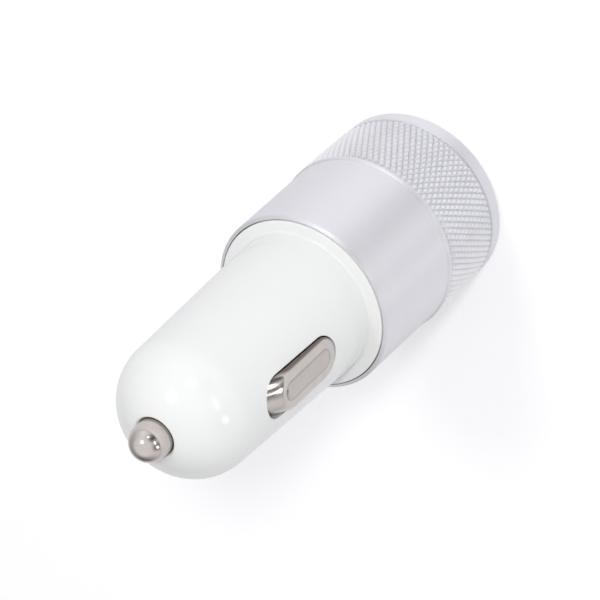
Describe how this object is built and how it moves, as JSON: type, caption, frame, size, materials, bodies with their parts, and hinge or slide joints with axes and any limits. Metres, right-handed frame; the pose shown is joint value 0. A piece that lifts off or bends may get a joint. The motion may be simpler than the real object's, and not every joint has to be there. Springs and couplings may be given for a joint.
{
  "type": "car USB charger plug",
  "caption": "Tapered white car charger plug with a domed nose, sprung contacts and a knurled satin aluminium head that holds USB ports.",
  "frame": {"origin": "centre of the flat ring at the USB end, on the axis; the part stands on this end", "axes": "+Z along the axis from the USB end to the nose; +X towards the right side contact; +Y towards the front USB port"},
  "size_m": [0.0266, 0.0266, 0.0687],
  "materials": {
    "satin_aluminium": "satin anodised, turned, with a knurled band",
    "white_plastic": "glossy",
    "nickel": "bright nickel plating",
    "spring_steel": "drawn wire",
    "board_laminate": "solder resist over glass laminate",
    "port_plastic": "moulded",
    "gold": "thin gold plating",
    "ferrite": "sintered",
    "copper": "enamelled copper wire",
    "bare_aluminium": "drawn can",
    "black_plastic": "moulded package",
    "pale_ceramic": "fired",
    "brown_ceramic": "fired"
  },
  "bodies": {
    "housing": {"head_shell": "satin_aluminium", "plug_housing": "white_plastic", "face_plate": "white_plastic", "contact_spring": "spring_steel", "spring_seat": "nickel", "main_board": "board_laminate", "usb_shell_front": "nickel", "usb_shell_back": "nickel", "usb_core_front": "port_plastic", "usb_core_back": "port_plastic", "usb_pins_front": "gold", "usb_pins_back": "gold", "inductor_core": "ferrite", "inductor_coil": "copper", "input_capacitor": "bare_aluminium", "output_capacitor": "bare_aluminium", "converter_chip": "black_plastic", "port_chip": "black_plastic", "rectifier_diode": "black_plastic", "chip_fuse": "pale_ceramic", "chip_resistors": "ferrite", "chip_capacitors": "brown_ceramic"},
    "centre_pin": {"centre_contact": "nickel"},
    "left_contact": {"side_contact_left": "nickel"},
    "right_contact": {"side_contact_right": "nickel"}
  },
  "joints": [
    {"name": "centre_contact_press", "type": "slide", "parent": "housing", "child": "centre_pin", "axis": [0, 0, -1], "range_m": [0, 0.0025], "stiffness_N_per_m": 1500, "springref_m": -0.0015, "deforming": ["contact_spring"]},
    {"name": "right_contact_press", "type": "hinge", "parent": "housing", "child": "right_contact", "pos_m": [0.00755, 0, 0.0348], "axis": [0, -1, 0], "range_deg": [0, 3.4], "stiffness_Nm_per_rad": 0.5, "springref_deg": -2.86},
    {"name": "left_contact_press", "type": "hinge", "parent": "housing", "child": "left_contact", "pos_m": [-0.00755, 0, 0.0348], "axis": [0, 1, 0], "range_deg": [0, 3.4], "stiffness_Nm_per_rad": 0.5, "springref_deg": -2.86}
  ]
}
